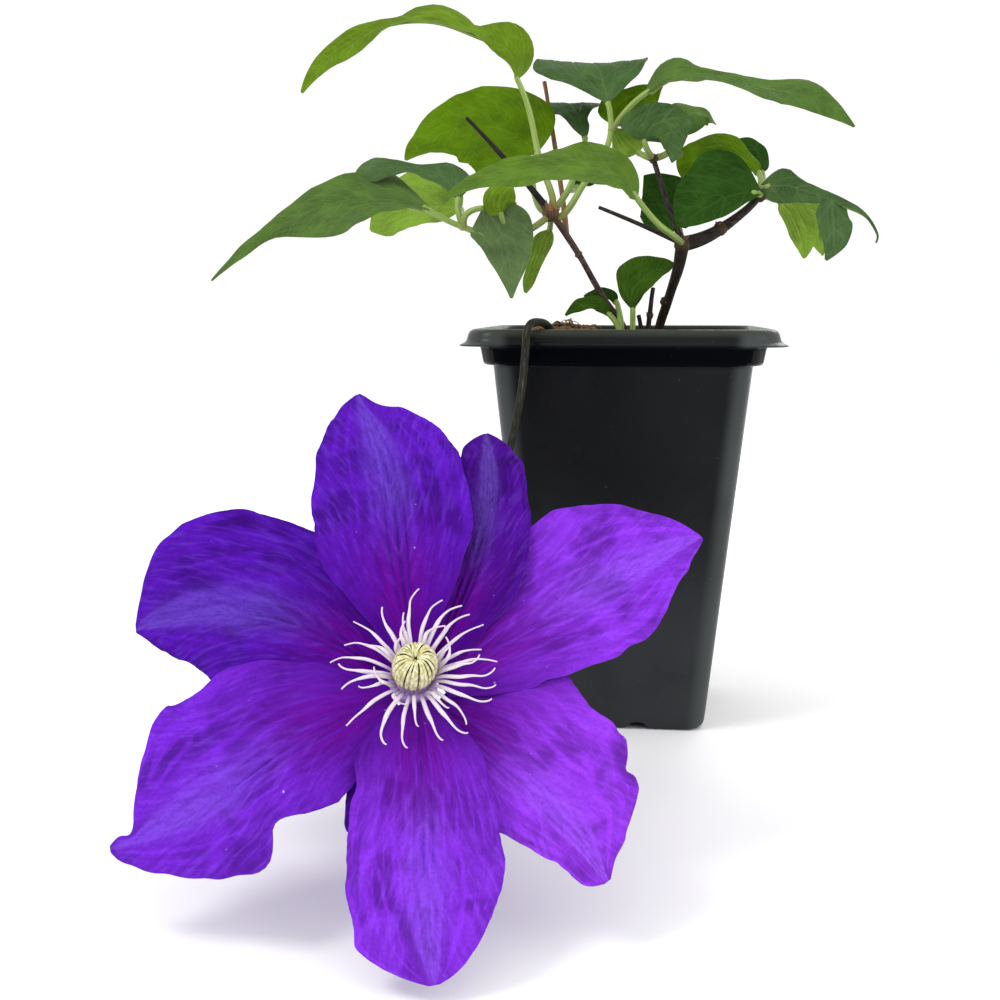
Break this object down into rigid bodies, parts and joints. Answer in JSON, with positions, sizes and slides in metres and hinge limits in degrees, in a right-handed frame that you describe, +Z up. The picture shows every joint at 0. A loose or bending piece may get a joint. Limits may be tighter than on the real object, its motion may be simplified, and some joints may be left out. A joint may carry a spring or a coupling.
{
  "type": "potted clematis",
  "caption": "Young clematis in a tapered square black nursery pot, with twiggy stems, waved green leaves and an open violet bloom hanging in front.",
  "frame": {"origin": "centre of the pot's underside, on the surface that the pot stands on", "axes": "+Z up, -Y the front that the bloom hangs before, +X to the viewer's right"},
  "size_m": [0.2037, 0.259, 0.2389],
  "materials": {
    "pot": "satin black",
    "soil": "loose bark and peat mix",
    "bark": "rough reddish brown bark",
    "leaf_bright": "waxy bright green",
    "leaf_dark": "waxy dark green",
    "leaf_pale": "waxy yellow green",
    "stalk": "smooth purplish brown",
    "sepal": "velvety violet blue",
    "stamen": "cream with lilac feet",
    "style": "pale yellow silk"
  },
  "bodies": {
    "root": {"pot": "pot", "soil": "soil", "stem_left": "bark", "stem_right": "bark", "stub_tall": "bark", "stub_short": "bark", "leaf_top_left": "leaf_bright", "leaf_round_back": "leaf_bright", "leaf_far_left": "leaf_dark", "leaf_low_back": "leaf_pale", "leaf_fan_up": "leaf_dark", "leaf_fan_back": "leaf_bright", "leaf_front_long": "leaf_bright", "leaf_low_centre": "leaf_dark", "leaf_centre": "leaf_dark", "leaf_crescent": "leaf_pale", "leaf_arch_back": "leaf_dark", "leaf_right_back": "leaf_pale", "leaf_heart": "leaf_dark", "leaf_drape": "leaf_dark", "leaf_low_right": "leaf_pale", "leaf_basal": "leaf_bright", "shoot_small": "leaf_dark", "bloom_stalk": "stalk", "sepal_top": "sepal", "sepal_top_right": "sepal", "sepal_right": "sepal", "sepal_lower_right": "sepal", "sepal_bottom": "sepal", "sepal_small": "sepal", "sepal_lower_left": "sepal", "sepal_left": "sepal", "stamens": "stamen", "styles": "style"}
  },
  "joints": []
}
